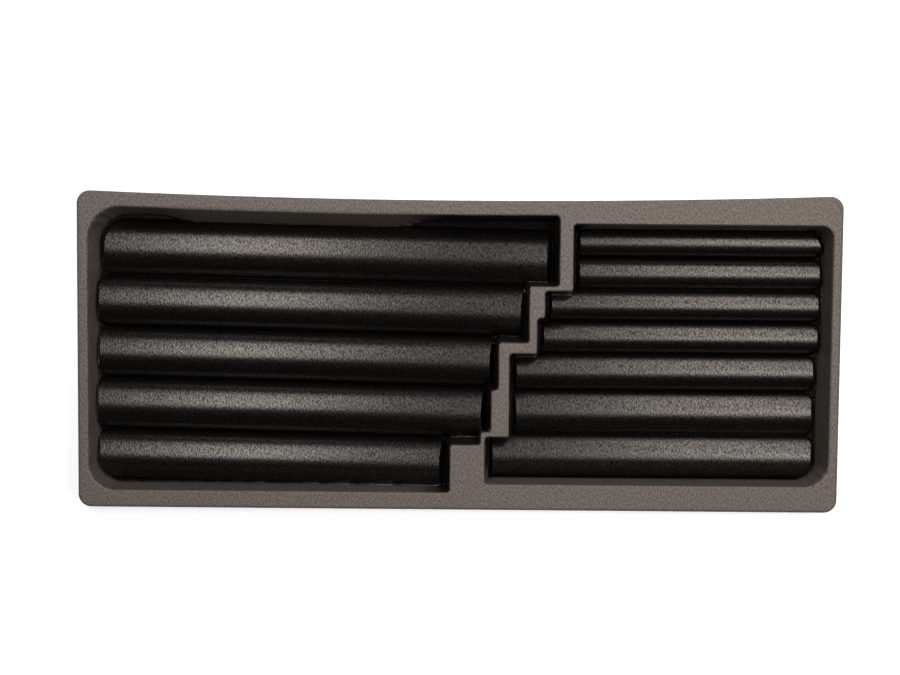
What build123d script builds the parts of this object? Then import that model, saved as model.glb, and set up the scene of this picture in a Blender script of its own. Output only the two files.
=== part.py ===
from build123d import *
import os
from math import atan, cos, hypot, sqrt, tan

# Tool tray insert: one thermoformed plastic sheet, all sizes in millimetres.
# Two wells hold half-round ribs; tools lie in the grooves between them.
# Origin under the centre of the tray, on the plane that its groove floors rest on.
# +X runs along the tray towards the bank of small ribs, +Y towards the bowed rear edge, +Z up.

# Whole tray
tray_length = 560.0
tray_width = 233.0
tray_depth = 30.0
sheet = 2.0
least_corner_radius = 0.4
rear_bow = 4.8                 # the rear edge bends in by this much at mid length
rear_corner_rise = 0.325       # height that the bowed edge loses again to its round corners
outer_corner_radius = 9.5
lip_drop = 7.0                 # turned-down edge round the rim
rim_edge_radius = 1.9

# Half-round ribs
groove_floor = 1.2             # flat strip along the bottom of a groove, on the upper skin
rib_end_run = 2.4              # slope of a rib's end, in plan, over its height
outer_end_radius = 7.0         # a rib's corners in plan, at the end by the tray's edge
inner_end_radius = 3.0         # and at the end by the divider
large_rib_height = 14.0
small_rib_height = 9.5

# Bank of five large ribs, in a frame turned by the bank's skew; a rib lies between two grooves
bank_skew = -1.1
bank_pivot_x = -262.0
large_grooves = [96.4, 54.3, 16.2, -22.0, -60.9, -98.9]
large_left_ends = [-267.0, -270.4, -269.2, -270.0, -268.2]
large_right_ends = [66.2, 48.2, 26.0, 20.6, -9.4]

# Bank of seven small ribs
small_grooves = [92.6, 70.5, 46.4, 22.6, -1.5, -29.3, -62.2, -95.6]
small_left_ends = [86.2, 86.2, 65.8, 60.3, 40.2, 40.2, 22.8]
small_right_ends = [271.2, 270.8, 270.6, 270.2, 267.5, 266.8, 267.2]

# Wells, seen from above at rim level and anticlockwise: corner x, corner y, corner radius,
# and how far the wall that starts at this corner leans in from the rim down to the floor
divider_lean = 2.0
left_well = [
    (-272.3, -103.7, 20.0, 2.5),
    (-5.9, -103.7, 4.0, divider_lean),
    (-5.9, -68.4, 2.5, divider_lean),
    (16.5, -68.4, 2.0, divider_lean),
    (16.5, -60.5, 2.0, divider_lean),
    (24.1, -57.5, 2.0, divider_lean),
    (24.1, -29.2, 2.0, divider_lean),
    (29.4, -26.2, 2.0, divider_lean),
    (29.4, 7.2, 2.5, divider_lean),
    (51.5, 7.2, 3.0, divider_lean),
    (51.5, 48.9, 2.5, divider_lean),
    (73.3, 48.9, 3.0, divider_lean),
    (73.3, 100.6, 5.0, 6.5),
    (-272.3, 105.6, 25.0, 1.0),
]
right_well = [
    (19.5, -97.2, 4.0, 1.5),
    (273.1, -97.2, 18.0, 1.0),
    (273.1, 93.6, 8.0, 1.5),
    (83.1, 93.6, 4.0, divider_lean),
    (83.1, 47.8, 2.5, divider_lean),
    (62.8, 46.2, 3.0, divider_lean),
    (62.8, 27.0, 2.0, divider_lean),
    (57.3, 24.8, 2.0, divider_lean),
    (57.3, -0.3, 2.5, divider_lean),
    (37.2, -0.3, 3.0, divider_lean),
    (37.2, -57.2, 2.5, divider_lean),
    (19.5, -64.5, 3.0, divider_lean),
]

# Heights and halves that follow
rim_top = tray_depth
floor_top = sheet
half_length = tray_length / 2
half_width = tray_width / 2


def outline_face(corners, moves, grow, z):
    """Closed outline with rounded corners; each side moves in by its own amount, less grow."""
    count = len(corners)
    lines = []
    for i in range(count):
        x0, y0 = corners[i][0], corners[i][1]
        x1, y1 = corners[(i + 1) % count][0], corners[(i + 1) % count][1]
        length = hypot(x1 - x0, y1 - y0)
        dx, dy = (x1 - x0) / length, (y1 - y0) / length
        inset = moves[i] - grow
        lines.append((x0 - dy * inset, y0 + dx * inset, dx, dy))
    points = []
    turns = []
    for i in range(count):
        ax, ay, adx, ady = lines[i - 1]
        bx, by, bdx, bdy = lines[i]
        cross = adx * bdy - ady * bdx
        along = ((bx - ax) * bdy - (by - ay) * bdx) / cross
        points.append(Vector(ax + adx * along, ay + ady * along))
        turns.append((cross, adx * bdx + ady * bdy))
    rounds = []
    for i in range(count):
        ax, ay, adx, ady = lines[i - 1]
        bx, by, bdx, bdy = lines[i]
        cross, dot = turns[i]
        radius = corners[i][2] + (grow if cross > 0 else -grow)
        radius = max(radius, least_corner_radius)
        half_turn = atan(abs(cross) / (1 + dot))
        back = radius * tan(half_turn)
        out = radius / cos(half_turn) - radius
        corner = points[i]
        before = corner - Vector(adx, ady) * back
        after = corner + Vector(bdx, bdy) * back
        side = Vector(bdx - adx, bdy - ady).normalized()
        rounds.append((before, corner + side * out, after))
    edges = []
    for i in range(count):
        before, middle, after = rounds[i]
        edges.append(ThreePointArc(before, middle, after))
        edges.append(Line(after, rounds[(i + 1) % count][0]))
    return Pos(0, 0, z) * make_face(Wire(edges))


def tapered_block(corners, top, bottom, grow):
    """Body between two levels; its outline at the top leans in towards the floor of the tray."""
    depth = rim_top - floor_top
    rings = []
    for z in (top, bottom):
        moves = [corner[3] * (rim_top - z) / depth for corner in corners]
        rings.append(outline_face(corners, moves, grow, z).wire())
    return Solid.make_loft(rings, ruled=True)


def rib(x_left, x_right, y_rear, y_front, height, outer_left, shrink):
    """One half-round rib on its upper skin, or inside the sheet where it is shrunk."""
    half = (y_rear - y_front - groove_floor) / 2
    middle = (y_rear + y_front) / 2
    radius = (half ** 2 + height ** 2) / (2 * height)
    centre = floor_top + height - radius
    base = floor_top - shrink
    reach = sqrt((radius - shrink) ** 2 - (base - centre) ** 2)
    crest = centre + radius - shrink
    section = make_face(Wire([
        ThreePointArc(Vector(0, reach, base), Vector(0, 0, crest), Vector(0, -reach, base)),
        Line(Vector(0, -reach, base), Vector(0, -reach, base - sheet)),
        Line(Vector(0, -reach, base - sheet), Vector(0, reach, base - sheet)),
        Line(Vector(0, reach, base - sheet), Vector(0, reach, base))]))
    length = x_right - x_left
    bar = Pos(x_left, middle, 0) * Solid.extrude(section.face(), Vector(length, 0, 0))
    left_radius = outer_end_radius if outer_left else inner_end_radius
    right_radius = inner_end_radius if outer_left else outer_end_radius
    # The rib widens downwards, so its leans count outwards from the height of the rim
    steep = rib_end_run * (rim_top - floor_top) / height
    corners = [
        (x_left + steep, middle - half, left_radius, 0.0),
        (x_right - steep, middle - half, right_radius, -steep),
        (x_right - steep, middle + half, right_radius, 0.0),
        (x_left + steep, middle + half, left_radius, -steep),
    ]
    return bar & tapered_block(corners, crest + sheet, base - sheet, -shrink)


def bank_of_ribs(grooves, left_ends, right_ends, height, outer_left, shrink):
    """All ribs of a bank, each between two neighbouring grooves."""
    return [rib(left, right, rear, front, height, outer_left, shrink)
            for left, right, rear, front in zip(left_ends, right_ends, grooves, grooves[1:])]


def skewed(body):
    """Turns the large bank about its pivot at the left end."""
    return Pos(bank_pivot_x, 0, 0) * Rot(0, 0, bank_skew) * Pos(-bank_pivot_x, 0, 0) * body


def skin_space(grow):
    """Everything above the upper skin (grow 0) or above the lower skin (grow = sheet)."""
    left = tapered_block(left_well, rim_top, floor_top - grow, grow)
    right = tapered_block(right_well, rim_top, floor_top - grow, grow)
    for large in bank_of_ribs(large_grooves, large_left_ends, large_right_ends,
                              large_rib_height, True, grow):
        left -= skewed(large)
    for small in bank_of_ribs(small_grooves, small_left_ends, small_right_ends,
                              small_rib_height, False, grow):
        right -= small
    return left + right


def rim_outline():
    """Outer edge of the tray, straight on three sides and bowed in at the rear."""
    front_left = Vector(-half_length, -half_width)
    front_right = Vector(half_length, -half_width)
    rear_right = Vector(half_length, half_width + rear_corner_rise)
    rear_middle = Vector(0, half_width - rear_bow)
    rear_left = Vector(-half_length, half_width + rear_corner_rise)
    wire = Wire([Line(front_left, front_right), Line(front_right, rear_right),
                 ThreePointArc(rear_right, rear_middle, rear_left), Line(rear_left, front_left)])
    face = make_face(wire)
    return fillet(face.vertices(), outer_corner_radius)


def formed_tray():
    """The sheet: rim with its turned-down lip, plus the lower skin's body, less the upper space."""
    outline = rim_outline()
    inside = offset(outline, -sheet)
    plate = Pos(0, 0, rim_top - sheet) * extrude(outline, sheet)
    lip = Pos(0, 0, rim_top - lip_drop) * extrude(outline - inside, lip_drop)
    rim = plate + lip
    top_edges = rim.edges().filter_by(lambda e: abs(e.center().Z - rim_top) < 0.01)
    rim = fillet(top_edges, rim_edge_radius)
    tray = rim + skin_space(sheet)
    tray -= skin_space(0.0)
    return tray


os.makedirs("parts", exist_ok=True)
tray = formed_tray()
tray.label = "formed_tray"
export_step(tray, "parts/formed_tray.step")
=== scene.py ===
from math import atan2, cos, exp, hypot, pi, radians, sin, sqrt, tan

import bmesh
import bpy
from mathutils import Matrix, Vector


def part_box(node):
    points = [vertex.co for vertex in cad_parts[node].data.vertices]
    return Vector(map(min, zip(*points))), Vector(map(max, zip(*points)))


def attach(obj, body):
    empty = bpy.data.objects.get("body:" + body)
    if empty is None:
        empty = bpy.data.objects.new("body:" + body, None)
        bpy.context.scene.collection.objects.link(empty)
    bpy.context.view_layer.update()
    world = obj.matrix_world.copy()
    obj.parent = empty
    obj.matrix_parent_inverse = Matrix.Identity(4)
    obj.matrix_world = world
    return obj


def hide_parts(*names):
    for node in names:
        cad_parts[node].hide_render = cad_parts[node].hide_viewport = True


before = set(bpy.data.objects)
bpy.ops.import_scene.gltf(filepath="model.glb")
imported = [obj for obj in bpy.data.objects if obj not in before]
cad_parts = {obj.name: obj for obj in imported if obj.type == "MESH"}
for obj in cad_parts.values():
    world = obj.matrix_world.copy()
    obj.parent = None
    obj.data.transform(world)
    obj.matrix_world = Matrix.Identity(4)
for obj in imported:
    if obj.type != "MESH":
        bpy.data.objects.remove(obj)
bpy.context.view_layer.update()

# The formed tray: rim, stepped divider, two wells and twelve half-round ribs.
# One sheet of black plastic drawn down over a mould, so every form runs softly into the next.
# Its upper skin is a depth below the rim at each place; the lower skin lies a sheet further down.
MM = 0.001
_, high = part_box("formed_tray")
half_length = high[0] / MM
half_width = high[1] / MM
rim_top = high[2] / MM

sheet = 2.0
wall_sheet = 1.1              # a drawn wall is thinner than the flat rim
floor_depth = rim_top - sheet
rear_bow = 5.1                # the rear edge bends in by this much at mid length
corner_radius = 9.5
edge_radius = 2.4
edge_strip = 4.5              # along the rim's edge the sheet keeps its full thickness
lip_drop = 7.0
mouth_radius = 1.2            # the rim rolls over into a wall
mouth_lean = 0.12             # at a wall of this lean the roll is round
mouth_turn = atan2(1, mouth_lean)
mouth_reach = mouth_radius * tan(mouth_turn / 2) / mouth_lean    # as a depth, out on the rim
foot_softness = 0.8           # rounding where a wall meets a rib or a groove
crest_softness = 5.0          # height over which a rib's top rolls down into its end
least_softness = 0.02
web_height = 4.0              # folds that the sheet keeps where it was drawn into a corner
web_width = 0.05              # width and place of a fold, as a share of the corner's turn
web_turns = [0.38, 0.62]
web_start = 8.0               # at this depth a fold has its full height

# A wall's lean is how far it moves inwards for each millimetre of depth.
# Corners of the divider are counted in depth too; in plan they are that times its lean.
divider_lean = 0.133
step_corner = 15.0
stair_corner = 20.0
end_corner = 24.0             # where the divider meets the outer walls
lean_change = 0.22            # share of a rib's width in which the lean changes to the next rib's
far_out = -1000.0             # the divider's outline starts from here, far outside the well

left_edge = -272.3
left_front = -103.7
left_front_lean = 0.09
# Given along x: the rear wall stands back from the first rib near both ends
left_rear_leans = [(-400.0, 0.30), (-262.0, 0.22), (-222.0, 0.18), (-200.0, 0.34),
                   (-48.0, 0.34), (-26.0, 0.15), (60.0, 0.15), (400.0, 0.15)]
left_rear_margin = 10.6
left_rear_corner = 25.0
left_front_corner = 20.0
left_leans = [0.20, 0.10, 0.13, 0.11, 0.15]
left_steps = [(73.3, 48.9), (51.5, 7.2), (29.4, -27.7),
              (24.1, -58.9), (16.5, -68.4), (-5.9, -140.0)]
bank_skew = radians(-1.1)
bank_pivot = -262.0

right_edge = 273.1
right_front = -97.2
right_rear = 95.0
right_front_lean = 0.06
right_rear_lean = 0.11
right_rear_corner = 9.0
right_front_corner = 18.0
right_leans = [0.08, 0.08, 0.09, 0.10, 0.18, 0.20, 0.18]
right_steps = [(83.1, 140.0), (62.8, 45.9), (57.3, 25.9), (37.2, -0.3), (19.5, -62.0)]

# Ribs of both banks, from the rear to the front, each between two neighbouring grooves.
groove_shade_height = 4.0             # height up a rib to which the painted shade of a groove reaches
groove_shade_rise = 3.0             # and the same up a wall
groove_side = 0.06            # the grid's lines lie this far to each side of a sharp groove
rib_end_run = 2.4             # slope of a rib's end, in plan, over its height
large_grooves = [96.4, 54.3, 16.2, -22.0, -60.9, -98.9]
large_ends = [(-267.0, 66.2), (-270.4, 48.2), (-269.2, 26.0), (-270.0, 20.6), (-268.2, -9.4)]
large_rib = 14.0
large_corners = (8.0, 3.0)    # rounding in plan at the left and the right end
large_outer_corners = (18.0, 3.0)     # the same, for the corners that lie in a corner of the well
small_grooves = [92.6, 70.5, 46.4, 22.6, -1.5, -29.3, -62.2, -95.6]
small_ends = [(86.2, 271.2), (86.2, 270.8), (65.8, 270.6), (60.3, 270.2),
              (40.2, 267.5), (40.2, 266.8), (22.8, 267.2)]
small_rib = 9.5
small_corners = (3.0, 8.0)
small_outer_corners = (3.0, 15.0)


def clamp(value, top=1.0):
    """The value, kept between nought and top."""
    return min(max(value, 0.0), top)


def inside_corner(a, b, radius):
    """Depth where two walls meet round a hollow corner."""
    if a < radius and b < radius:
        return radius - hypot(radius - a, radius - b)
    return min(a, b)


def outside_corner(a, b, radius):
    """Depth where two walls meet round a corner that stands out into the well."""
    if a > -radius and b > -radius:
        return hypot(a + radius, b + radius) - radius
    return max(a, b)


def corner_wall(a, b, lean_a, lean_b, radius):
    """Depth of two walls, from how far inside each a place lies; their corner is round in plan."""
    if a < radius and b < radius:
        inside = radius - hypot(radius - a, radius - b)
        turn = atan2(radius - b, radius - a) / (pi / 2)
        depth = inside / (lean_a + (lean_b - lean_a) * turn)
        web = sum(exp(-((turn - middle) / web_width) ** 2) for middle in web_turns)
        return depth - web_height * web * clamp(depth / web_start)
    return min(a / lean_a, b / lean_b)


def soft_min(a, b, width):
    """The smaller value, with a rounded change from one to the other."""
    near = max(width - abs(a - b), 0.0)
    return min(a, b) - near * near / (4 * width)


def rolled(depth):
    """Drop below the rim where a wall has this depth; the roll begins out on the rim."""
    along = mouth_lean * (depth + mouth_reach)
    if along <= 0:
        return 0.0
    if along < mouth_radius * sin(mouth_turn):
        return mouth_radius - sqrt(mouth_radius ** 2 - along ** 2)
    return depth


def blended(values, grooves, y):
    """A wall's lean at y: each rib has its own, with an even change across the grooves."""
    last = len(values) - 1
    for i in range(last):
        width = lean_change * min(grooves[i] - grooves[i + 1], grooves[i + 1] - grooves[i + 2])
        if y > grooves[i + 1] + width:
            return values[i]
        if y > grooves[i + 1] - width:
            share = (grooves[i + 1] + width - y) / (2 * width)
            share = share * share * (3 - 2 * share)
            return values[i] + (values[i + 1] - values[i]) * share
    return values[last]


def rib_height(x, y, grooves, ends, height, corners, outer_corners):
    """Height of the bank's half-round ribs above the floor, nought in the grooves."""
    i = 0
    while i < len(ends) - 1 and y < grooves[i + 1]:
        i += 1
    half = (grooves[i] - grooves[i + 1]) / 2
    middle = (grooves[i] + grooves[i + 1]) / 2
    across = abs(y - middle)
    if across >= half:
        return 0.0
    radius = (half ** 2 + height ** 2) / (2 * height)
    section = height - radius + sqrt(radius ** 2 - across ** 2)
    is_outer = (i == 0 and y > middle) or (i == len(ends) - 1 and y < middle)
    left_round, right_round = outer_corners if is_outer else corners
    from_left = inside_corner(x - ends[i][0], half - across, left_round)
    from_right = inside_corner(ends[i][1] - x, half - across, right_round)
    slope = min(from_left, from_right) * height / rib_end_run
    # The rounding fades towards the groove, which stays sharp
    return max(soft_min(section, slope, crest_softness * section / height + least_softness), 0.0)


def into_bank(x, y):
    """Place in the large bank's own frame, which is turned by the bank's skew."""
    dx = x - bank_pivot
    along = bank_pivot + dx * cos(bank_skew) + y * sin(bank_skew)
    return along, y * cos(bank_skew) - dx * sin(bank_skew)


def out_of_bank(x, y):
    """The way back from the large bank's frame."""
    dx = x - bank_pivot
    along = bank_pivot + dx * cos(bank_skew) - y * sin(bank_skew)
    return along, y * cos(bank_skew) + dx * sin(bank_skew)


def rear_edge(x):
    """How far back the tray's bowed rear edge lies."""
    return half_width - rear_bow * (1 - (x / (half_length - corner_radius)) ** 2)


def changing(values, x):
    """A value that changes evenly between the places where it is given."""
    for (x0, v0), (x1, v1) in zip(values, values[1:]):
        if x < x1:
            return v0 + (v1 - v0) * (x - x0) / (x1 - x0)
    return values[-1][1]


def left_wall(x, y):
    """Signed depth of the left well's walls: positive inside, negative out on the rim."""
    west_lean = blended(left_leans, large_grooves, into_bank(x, y)[1])
    rear = rear_edge(x) - left_rear_margin - y
    front = y - left_front
    stair = far_out
    for edge, step in left_steps:
        part = inside_corner((edge - x) / divider_lean, (y - step) / divider_lean, stair_corner)
        stair = outside_corner(stair, part, step_corner)
    if rear < front:
        rear_lean = changing(left_rear_leans, x)
        side = corner_wall(x - left_edge, rear, west_lean, rear_lean, left_rear_corner)
    else:
        side = corner_wall(x - left_edge, front, west_lean, left_front_lean, left_front_corner)
    return inside_corner(side, stair, end_corner)


def right_wall(x, y):
    """Signed depth of the right well's walls."""
    east_lean = blended(right_leans, small_grooves, y)
    rear = right_rear - y
    front = y - right_front
    stair = far_out
    for edge, step in right_steps:
        part = inside_corner((x - edge) / divider_lean, (step - y) / divider_lean, stair_corner)
        stair = outside_corner(stair, part, step_corner)
    if rear < front:
        side = corner_wall(right_edge - x, rear, east_lean, right_rear_lean, right_rear_corner)
    else:
        side = corner_wall(right_edge - x, front, east_lean, right_front_lean, right_front_corner)
    return inside_corner(side, stair, end_corner)


def well_height(wall, rib):
    """Height of the upper skin from the depth of its wall and the height of its rib."""
    return rim_top - rolled(soft_min(wall, floor_depth - rib, foot_softness))


def left_rib(x, y):
    """Height of the large ribs at a place on the tray."""
    return rib_height(*into_bank(x, y), large_grooves, large_ends, large_rib,
                      large_corners, large_outer_corners)


def right_rib(x, y):
    """Height of the small ribs at a place on the tray."""
    return rib_height(x, y, small_grooves, small_ends, small_rib,
                      small_corners, small_outer_corners)


# Steps of the grid; it is fine only where the sheet bends.
coarse = 8.0
middling = 3.0
fine = 0.7
corner_step = 0.55
front_step = 0.3              # down the front walls, where the last groove runs into them
least_gap = 0.3               # a line that lies nearer to an extra one is left out


def even_lines(start, end, step):
    """Grid lines from start up to end, about a step apart."""
    count = max(1, round(abs(end - start) / step))
    return [start + (end - start) * i / count for i in range(count)]


def bank_lines(grooves, count, margin, extra):
    """Grid lines across a bank, close together at the grooves and at extra places."""
    lines = even_lines(grooves[0] + margin, grooves[0], fine)
    for rear, front in zip(grooves, grooves[1:]):
        outer = rear == grooves[0] or front == grooves[-1]
        steps = 2 * count if outer else count
        reach = (rear - front) / 2 - groove_side
        for i in range(steps + 1):
            lines.append((rear + front) / 2 + reach * cos(pi * i / steps))
    lines += even_lines(grooves[-1], grooves[-1] - margin, front_step) + [grooves[-1] - margin]
    lines = [line for line in lines if min(abs(line - place) for place in extra) > least_gap]
    return sorted(lines + extra, reverse=True)


# Each wall leans differently from place to place, which no operator gives, so the wells
# are a grid over the depths above. Operators fill the rim.
bm = bmesh.new()
normals = {}
drawn_black_and_painted_shade = {}
groove_shade_masks = {}


def add_vertex(x, y, z, normal, share=0.0, groove_shade_mask=0.0):
    """A vertex with its normal, how black the sheet is there with any painted shade, and how much
    painted shade dulls it in a groove.
    """
    vertex = bm.verts.new((x * MM, y * MM, z * MM))
    normals[vertex] = normal
    drawn_black_and_painted_shade[vertex] = share
    groove_shade_masks[vertex] = groove_shade_mask
    return vertex


# How black the sheet is where it was drawn: on an outer wall, and at most on a rib; and how much
# painted shade blackens the walls by the divider.
outer_wall_black = 0.22
divider_painted_shade = 0.7
rib_black = 0.78
wall_fade = 2.6               # depth at which a wall has its own black
skin_fade = 5.0               # height over which a rib's black sets in on the wall above it
skin_lead = 0.8               # share of that height that lies above the rib
left_painted_shade_from = -35.0       # along x, and the run in which the painted shade by the divider sets in
left_painted_shade_run = 25.0
right_painted_shade_until = 98.0
right_painted_shade_run = 8.0
right_painted_shade_front = -90.0       # along y: the painted shade by the divider ends at the front wall
right_painted_shade_front_run = 6.0


def left_wall_black_and_painted_shade(x, y):
    """How black the left well's walls are at x, whatever y is, with painted shade by the divider."""
    return outer_wall_black + divider_painted_shade * clamp((x - left_painted_shade_from) / left_painted_shade_run)


def right_wall_black_and_painted_shade(x, y):
    """The same for the right well, with painted shade by the divider; its front wall stays light all
    along.
    """
    by_divider = (clamp((right_painted_shade_until - x) / right_painted_shade_run)
                  * clamp((y - right_painted_shade_front) / right_painted_shade_front_run))
    return outer_wall_black + divider_painted_shade * by_divider


def add_well(xs, ys, to_tray, wall, rib, wall_black_and_painted_shade):
    """One well as a grid that follows its bank, without the squares out on the flat rim."""
    places = [[to_tray(x, y) for x in xs] for y in ys]
    depth = [[wall(x, y) for x, y in row] for row in places]
    made = {}
    small = 0.04              # slopes are taken over this much to each side

    def height(x, y):
        return well_height(wall(x, y), rib(x, y))

    def vertex(i, j):
        if (i, j) not in made:
            x, y = places[i][j]
            above_floor = floor_depth - depth[i][j]
            above_groove = rib(x, y)
            rise_x = (height(x + small, y) - height(x - small, y)) / (2 * small)
            rise_y = (height(x, y + small) - height(x, y - small)) / (2 * small)
            # Painted shade: the walls by the divider are coloured blacker, and a groove's reflection
            # is dulled, standing in for the shade there.
            wall_black_with_painted_shade = clamp(depth[i][j] / wall_fade) * wall_black_and_painted_shade(x, y)
            on_rib = clamp((above_groove - above_floor) / skin_fade + skin_lead, rib_black)
            groove_shade_mask = clamp(1 - above_groove / groove_shade_height) * clamp(1 - above_floor / groove_shade_rise)
            normal = Vector((-rise_x, -rise_y, 1)).normalized()
            made[i, j] = add_vertex(x, y, height(x, y), normal, wall_black_with_painted_shade + on_rib, groove_shade_mask)
        return made[i, j]

    for i in range(len(ys) - 1):
        for j in range(len(xs) - 1):
            corners = [(i, j), (i + 1, j), (i + 1, j + 1), (i, j + 1)]
            if max(depth[a][b] for a, b in corners) > -mouth_reach:
                bm.faces.new([vertex(a, b) for a, b in corners])


def changing_lines(stretches):
    """Grid lines through stretches that each have their own step, given as start and step."""
    lines = []
    for (start, step), (end, _) in zip(stretches, stretches[1:]):
        lines += even_lines(start, end, step)
    return lines + [stretches[-1][0]]


left_xs = changing_lines([(-277.0, corner_step), (-250.0, middling), (-196.0, coarse),
                          (-13.0, fine), (-2.0, coarse), (12.0, fine), (31.5, coarse),
                          (44.0, fine), (54.5, coarse), (61.5, fine), (77.0, fine)])
right_xs = changing_lines([(18.2, fine), (26.5, coarse), (34.0, fine), (44.0, coarse),
                           (54.0, fine), (69.5, coarse), (80.0, fine), (90.5, coarse),
                           (254.0, corner_step), (276.0, fine)])

# More lines at the mouth of each wall that crosses the ribs on a step of the divider
left_step_lines = (0.5, -0.4, -0.9, -1.45)
right_step_lines = (-0.3, 0.6, 1.25)
left_extra = [into_bank(x, y)[1] + shift for x, y in left_steps[:-1] for shift in left_step_lines]
right_extra = [y + shift for x, y in right_steps[1:] for shift in right_step_lines]
left_lines = 20               # to each rib
left_margin = 16.5            # beyond the outermost grooves
right_lines = 14
right_margin = 6.0
left_ys = bank_lines(large_grooves, left_lines, left_margin, left_extra)
right_ys = bank_lines(small_grooves, right_lines, right_margin, right_extra)
add_well(left_xs, left_ys, out_of_bank, left_wall, left_rib, left_wall_black_and_painted_shade)
add_well(right_xs, right_ys, lambda x, y: (x, y), right_wall, right_rib, right_wall_black_and_painted_shade)


outline_step = 9.0
arc_steps = 12
bow_turn = 1                  # degrees by which the bowed edge turns a rear corner further
edge_steps = 6
lip_row = 0.55                # place of the one row of vertices between the lip's two edges


def outline_points():
    """Outer edge of the tray as place and outward direction, anticlockwise from the left."""
    points = []

    def arc(cx, cy, start, end):
        for i in range(arc_steps + 1):
            angle = radians(start + (end - start) * i / arc_steps)
            nx, ny = cos(angle), sin(angle)
            points.append((cx + corner_radius * nx, cy + corner_radius * ny, nx, ny))

    inner_x = half_length - corner_radius
    inner_y = half_width - corner_radius
    arc(-inner_x, -inner_y, 180, 270)
    points.extend((x, -half_width, 0, -1) for x in even_lines(-inner_x, inner_x, outline_step)[1:])
    arc(inner_x, -inner_y, 270, 360)
    points.extend((half_length, y, 1, 0) for y in even_lines(-inner_y, inner_y, outline_step)[1:])
    arc(inner_x, inner_y, 0, 90 + bow_turn)
    for x in even_lines(inner_x, -inner_x, outline_step)[1:]:
        slope = 2 * rear_bow * x / inner_x ** 2
        points.append((x, rear_edge(x), -slope / hypot(slope, 1), 1 / hypot(slope, 1)))
    arc(-inner_x, inner_y, 90 - bow_turn, 180)
    points.extend((-half_length, y, -1, 0) for y in even_lines(inner_y, -inner_y, outline_step)[1:])
    return points


def edge_profile():
    """From the flat rim round its edge and down the lip: inset, height and turn so far."""
    rows = []
    for i in range(edge_steps + 1):
        turn = radians(90 * i / edge_steps)
        rows.append((edge_radius * (1 - sin(turn)), rim_top - edge_radius * (1 - cos(turn)), turn))
    rows.append((0.0, rim_top - lip_row * lip_drop, pi / 2))
    rows.append((0.0, rim_top - lip_drop, pi / 2))
    return rows


outline = outline_points()
rings = []
for inset, z, turn in edge_profile():
    ring = []
    for x, y, nx, ny in outline:
        normal = Vector((nx * sin(turn), ny * sin(turn), cos(turn)))
        ring.append(add_vertex(x - nx * inset, y - ny * inset, z, normal))
    rings.append(ring)
for upper, lower in zip(rings, rings[1:]):
    for i in range(len(outline)):
        bm.faces.new([upper[i - 1], lower[i - 1], lower[i], upper[i]])

# The flat land between the rim's edge and the two wells is filled between their open borders.
level_within = 1e-6
borders = [edge for edge in bm.edges if edge.is_boundary
           and all(abs(v.co.z - rim_top * MM) < level_within for v in edge.verts)]
flat = bmesh.ops.triangle_fill(bm, edges=borders, normal=(0, 0, 1), use_beauty=True)
for face in flat["geom"]:
    if isinstance(face, bmesh.types.BMFace):
        face.normal_update()
        if face.normal.z < 0:
            face.normal_flip()

# The lower skin repeats the upper one a sheet further down, and a narrow strip closes the lip.
upper_verts = list(bm.verts)
upper_faces = list(bm.faces)
under = {}
for vertex in upper_verts:
    normal = normals[vertex]
    inside = (abs(vertex.co.x) < (half_length - edge_strip) * MM
              and abs(vertex.co.y) < (half_width - edge_strip) * MM)
    thickness = wall_sheet + (sheet - wall_sheet) * normal.z if inside else sheet
    under[vertex] = bm.verts.new(vertex.co - normal * thickness * MM)
    normals[under[vertex]] = -normal
    drawn_black_and_painted_shade[under[vertex]] = drawn_black_and_painted_shade[vertex]
    groove_shade_masks[under[vertex]] = groove_shade_masks[vertex]
for face in upper_faces:
    bm.faces.new([under[v] for v in reversed(face.verts)])
lip = rings[-1]
for i in range(len(lip)):
    bm.faces.new([lip[i - 1], under[lip[i - 1]], under[lip[i]], lip[i]])

mesh = bpy.data.meshes.new("tray_sheet")
bm.verts.index_update()
ordered = [normals[v] for v in bm.verts]
shares = [drawn_black_and_painted_shade[v] for v in bm.verts]
groove_shade_values = [groove_shade_masks[v] for v in bm.verts]
bm.to_mesh(mesh)
bm.free()
for polygon in mesh.polygons:
    polygon.use_smooth = True
mesh.normals_split_custom_set_from_vertices(ordered)
mesh.attributes.new("drawn_black_and_painted_shade", "FLOAT", "POINT").data.foreach_set("value", shares)
mesh.attributes.new("groove_shade_mask", "FLOAT", "POINT").data.foreach_set("value", groove_shade_values)
tray = bpy.data.objects.new("tray_sheet", mesh)
bpy.context.scene.collection.objects.link(tray)
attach(tray, "root")
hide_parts("formed_tray")


# Black formed plastic: ABS sheet with a fine haircell grain that rollers pressed into it.
# The flat rim looks dark grey and speckled; where the sheet was drawn it is blacker and glossier.
# Painted shade makes the walls by the divider blacker and dulls the reflection in the grooves.
# The real grain is finer than the render can show.
grain_count = 700.0           # grains in a metre: one is about 1.4 mm
grain_turn = 0.75             # slanted across the tray
grain_stretch = (1.5, 0.75, 1.0)
grain_depth = 0.06            # in millimetres, as a bump
grain_low = 0.3               # usual range of the grain's noise
grain_high = 0.7
flat_colour = "#534c46"
# black of the drawn sheet, which is also the painted shade on the walls by the divider
drawn_and_painted_shade_colour = "#070606"
flat_roughness = 0.6
drawn_roughness = 0.3
speckle_low = 0.72
speckle_high = 1.28
specular_low = 0.15
specular_high = 0.85
groove_shade_specular = 0.05        # share of the reflection that the painted shade leaves in a groove


def srgb(code):
    """Linear colour from a hex code."""
    parts = [int(code[i:i + 2], 16) / 255 for i in (1, 3, 5)]
    return tuple(p / 12.92 if p <= 0.04045 else ((p + 0.055) / 1.055) ** 2.4 for p in parts) + (1.0,)


def add_node(material, kind, settings, links):
    """A node with its plain settings, input values and links."""
    node = material.node_tree.nodes.new(kind)
    for name, value in settings.items():
        if name in node.inputs:
            node.inputs[name].default_value = value
        else:
            setattr(node, name, value)
    for name, source in links.items():
        material.node_tree.links.new(source, node.inputs[name])
    return node


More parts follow.
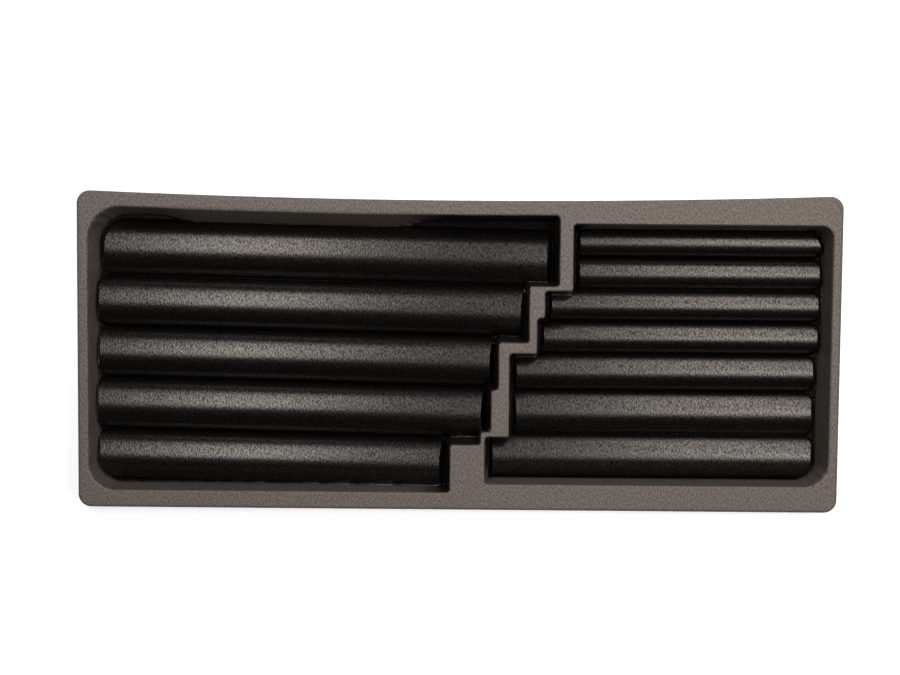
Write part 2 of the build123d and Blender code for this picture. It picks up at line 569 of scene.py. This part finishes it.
plastic = bpy.data.materials.new("black_haircell_abs")
plastic.use_nodes = True
shader = plastic.node_tree.nodes["Principled BSDF"]
place = add_node(plastic, "ShaderNodeTexCoord", {}, {})
# This share carries the drawn sheet's black and the painted shade by the divider.
share = add_node(plastic, "ShaderNodeAttribute", {"attribute_name": "drawn_black_and_painted_shade"}, {})
slanted = add_node(plastic, "ShaderNodeMapping",
                   {"Rotation": (0.0, 0.0, grain_turn), "Scale": grain_stretch},
                   {"Vector": place.outputs["Object"]})
grain = add_node(plastic, "ShaderNodeTexNoise",
                 {"Scale": grain_count, "Detail": 1.0, "Roughness": 0.55},
                 {"Vector": slanted.outputs["Vector"]})
bump = add_node(plastic, "ShaderNodeBump", {"Strength": 1.0, "Distance": grain_depth * MM},
                {"Height": grain.outputs["Fac"]})
plastic.node_tree.links.new(bump.outputs["Normal"], shader.inputs["Normal"])
colour = add_node(plastic, "ShaderNodeValToRGB", {}, {"Fac": share.outputs["Fac"]})
colour.color_ramp.elements[0].color = srgb(flat_colour)
colour.color_ramp.elements[1].color = srgb(drawn_and_painted_shade_colour)
speckle = add_node(plastic, "ShaderNodeMapRange",
                   {"From Min": grain_low, "From Max": grain_high,
                    "To Min": speckle_low, "To Max": speckle_high},
                   {"Value": grain.outputs["Fac"]})
toned = add_node(plastic, "ShaderNodeVectorMath", {"operation": "SCALE"},
                 {"Vector": colour.outputs["Color"], "Scale": speckle.outputs["Result"]})
plastic.node_tree.links.new(toned.outputs["Vector"], shader.inputs["Base Color"])
shine = add_node(plastic, "ShaderNodeMapRange",
                 {"From Min": grain_low, "From Max": grain_high,
                  "To Min": specular_low, "To Max": specular_high},
                 {"Value": grain.outputs["Fac"]})
# Painted shade: in the grooves the reflection is dulled almost away, standing in for the shade that
# falls there.
groove_shade_mask = add_node(plastic, "ShaderNodeAttribute", {"attribute_name": "groove_shade_mask"}, {})
groove_shade_dimming = add_node(plastic, "ShaderNodeMapRange", {"To Min": 1.0, "To Max": groove_shade_specular},
                {"Value": groove_shade_mask.outputs["Fac"]})
specular = add_node(plastic, "ShaderNodeVectorMath", {"operation": "SCALE"},
                    {"Vector": shine.outputs["Result"], "Scale": groove_shade_dimming.outputs["Result"]})
plastic.node_tree.links.new(specular.outputs["Vector"], shader.inputs["Specular IOR Level"])
gloss = add_node(plastic, "ShaderNodeMapRange",
                 {"To Min": flat_roughness, "To Max": drawn_roughness},
                 {"Value": share.outputs["Fac"]})
plastic.node_tree.links.new(gloss.outputs["Result"], shader.inputs["Roughness"])
shader.inputs["Specular Tint"].default_value = srgb("#fff4ea")
mesh.materials.append(plastic)


# Floor, lamps and camera.
# White paper floor that the camera sees as an even white.
# A long softbox over the left well and its rear, one behind the right well, a weak one at the right.
floor_half = 4.0
floor_gap = 0.3               # a hair below the tray's own flat floor
world_strength = 0.03
floor_mesh = bpy.data.meshes.new("studio_floor")
floor_bm = bmesh.new()
bmesh.ops.create_grid(floor_bm, x_segments=1, y_segments=1, size=floor_half)
floor_bm.to_mesh(floor_mesh)
floor_bm.free()
floor = bpy.data.objects.new("studio_floor", floor_mesh)
floor.location.z = -floor_gap * MM
bpy.context.scene.collection.objects.link(floor)
paper = bpy.data.materials.new("white_paper")
paper.use_nodes = True
paper_shader = paper.node_tree.nodes["Principled BSDF"]
paper_shader.inputs["Base Color"].default_value = srgb("#f4f4f4")
paper_shader.inputs["Roughness"].default_value = 0.9
paper_shader.inputs["Emission Color"].default_value = srgb("#b4b4b4")
seen = add_node(paper, "ShaderNodeLightPath", {}, {})
shown = add_node(paper, "ShaderNodeMath", {"operation": "MAXIMUM"},
                 {0: seen.outputs["Is Camera Ray"], 1: seen.outputs["Is Glossy Ray"]})
through = add_node(paper, "ShaderNodeMath", {"operation": "MAXIMUM"},
                   {0: shown.outputs["Value"], 1: seen.outputs["Is Transmission Ray"]})
paper.node_tree.links.new(through.outputs["Value"], paper_shader.inputs["Emission Strength"])
floor_mesh.materials.append(paper)

world = bpy.data.worlds.new("studio")
bpy.context.scene.world = world
world.use_nodes = True
world.node_tree.nodes["Background"].inputs["Color"].default_value = (1, 1, 1, 1)
world.node_tree.nodes["Background"].inputs["Strength"].default_value = world_strength


def softbox(name, place, target, size, power):
    """An area lamp that faces its target."""
    lamp = bpy.data.lights.new(name, "AREA")
    lamp.shape = "RECTANGLE"
    lamp.size, lamp.size_y = size
    lamp.energy = power
    box = bpy.data.objects.new(name, lamp)
    box.location = place
    box.rotation_euler = (Vector(target) - Vector(place)).to_track_quat("-Z", "Y").to_euler()
    bpy.context.scene.collection.objects.link(box)


softbox("over_left_well", (-0.275, 0.66, 1.0), (-0.275, 0.66, 0), (0.05, 1.6), 10.5)
softbox("behind_right_well", (0.4, 0.5, 0.9), (0.4, 0, 0), (0.28, 1.9), 12)
softbox("right_of_tray", (0.8, 0.0, 1.4), (0, 0, 0), (0.5, 0.5), 6.5)

camera_data = bpy.data.cameras.new("camera")
camera = bpy.data.objects.new("camera", camera_data)
bpy.context.scene.collection.objects.link(camera)
distance = 1.2
tilt = radians(4.0)
roll = radians(0.5)
photo_width = 900
photo_pixel = 0.7325 * MM             # size of a pixel of the photo, at the rim
sensor_width = 36.0
aim = Vector((-6.6 * MM, 11.2 * MM, rim_top * MM))
camera_data.sensor_width = sensor_width
camera_data.lens = sensor_width * distance / (photo_width * photo_pixel)
back = Vector((0, sin(tilt), cos(tilt)))
up = Vector((-sin(roll), cos(roll), 0))
right = up.cross(back).normalized()
up = back.cross(right)
facing = Matrix((right, up, back)).transposed().to_4x4()
camera.matrix_world = Matrix.Translation(aim + back * distance) @ facing
bpy.context.scene.camera = camera
bpy.context.scene.view_settings.view_transform = "Standard"
